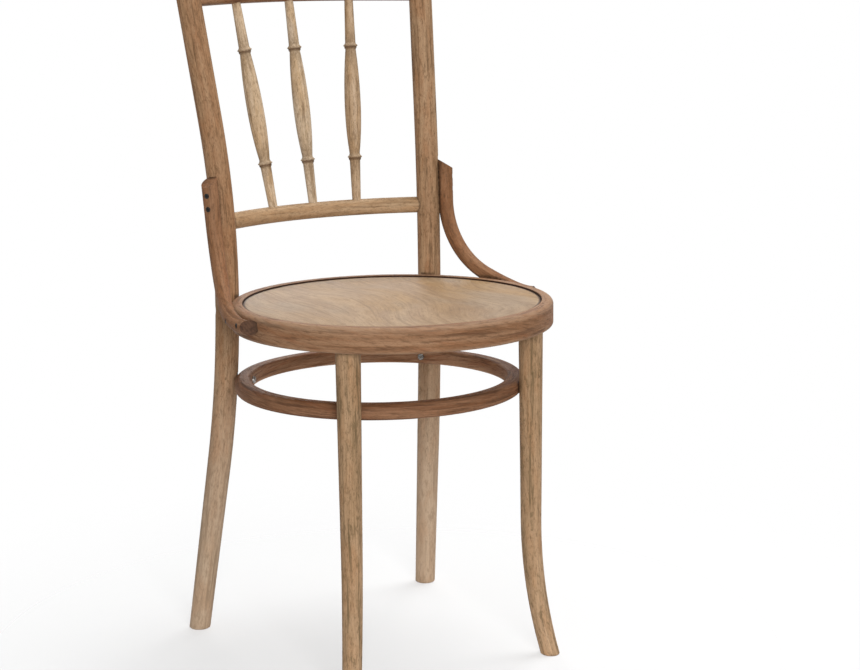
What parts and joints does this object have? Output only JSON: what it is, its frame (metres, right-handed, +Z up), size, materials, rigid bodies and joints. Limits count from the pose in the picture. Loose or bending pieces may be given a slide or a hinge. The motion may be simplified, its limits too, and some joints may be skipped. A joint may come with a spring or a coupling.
{
  "type": "bentwood bistro chair",
  "caption": "Chair with a round plywood seat in a bent seat ring, a bent stretcher ring, a spindle back between two tall bent posts, and short bent arms.",
  "frame": {"origin": "on the floor, under the middle of the chair's bounding box", "axes": "+Z up, the chair faces -Y, +X is on the sitter's left"},
  "size_m": [0.4436, 0.4754, 0.8914],
  "materials": {
    "leg_beech": "satin, weathered light brown",
    "ring_beech": "satin, reddish brown",
    "spindle_beech": "satin, pale",
    "seat_plywood": "satin, pale light brown",
    "dark_steel": "blackened",
    "zinc_steel": "dull zinc"
  },
  "bodies": {
    "root": {"seat_ring": "ring_beech", "seat_panel": "seat_plywood", "left_back_post": "leg_beech", "right_back_post": "leg_beech", "left_front_leg": "leg_beech", "right_front_leg": "leg_beech", "stretcher_ring": "ring_beech", "lower_back_rail": "spindle_beech", "crest_rail": "ring_beech", "left_spindle": "spindle_beech", "middle_spindle": "spindle_beech", "right_spindle": "spindle_beech", "left_arm": "ring_beech", "right_arm": "ring_beech", "arm_post_screws": "dark_steel", "arm_seat_screws": "dark_steel", "stretcher_screws": "zinc_steel", "seat_bolts": "zinc_steel", "seat_bolt_washers": "zinc_steel", "seat_bolt_nuts": "zinc_steel"}
  },
  "joints": []
}
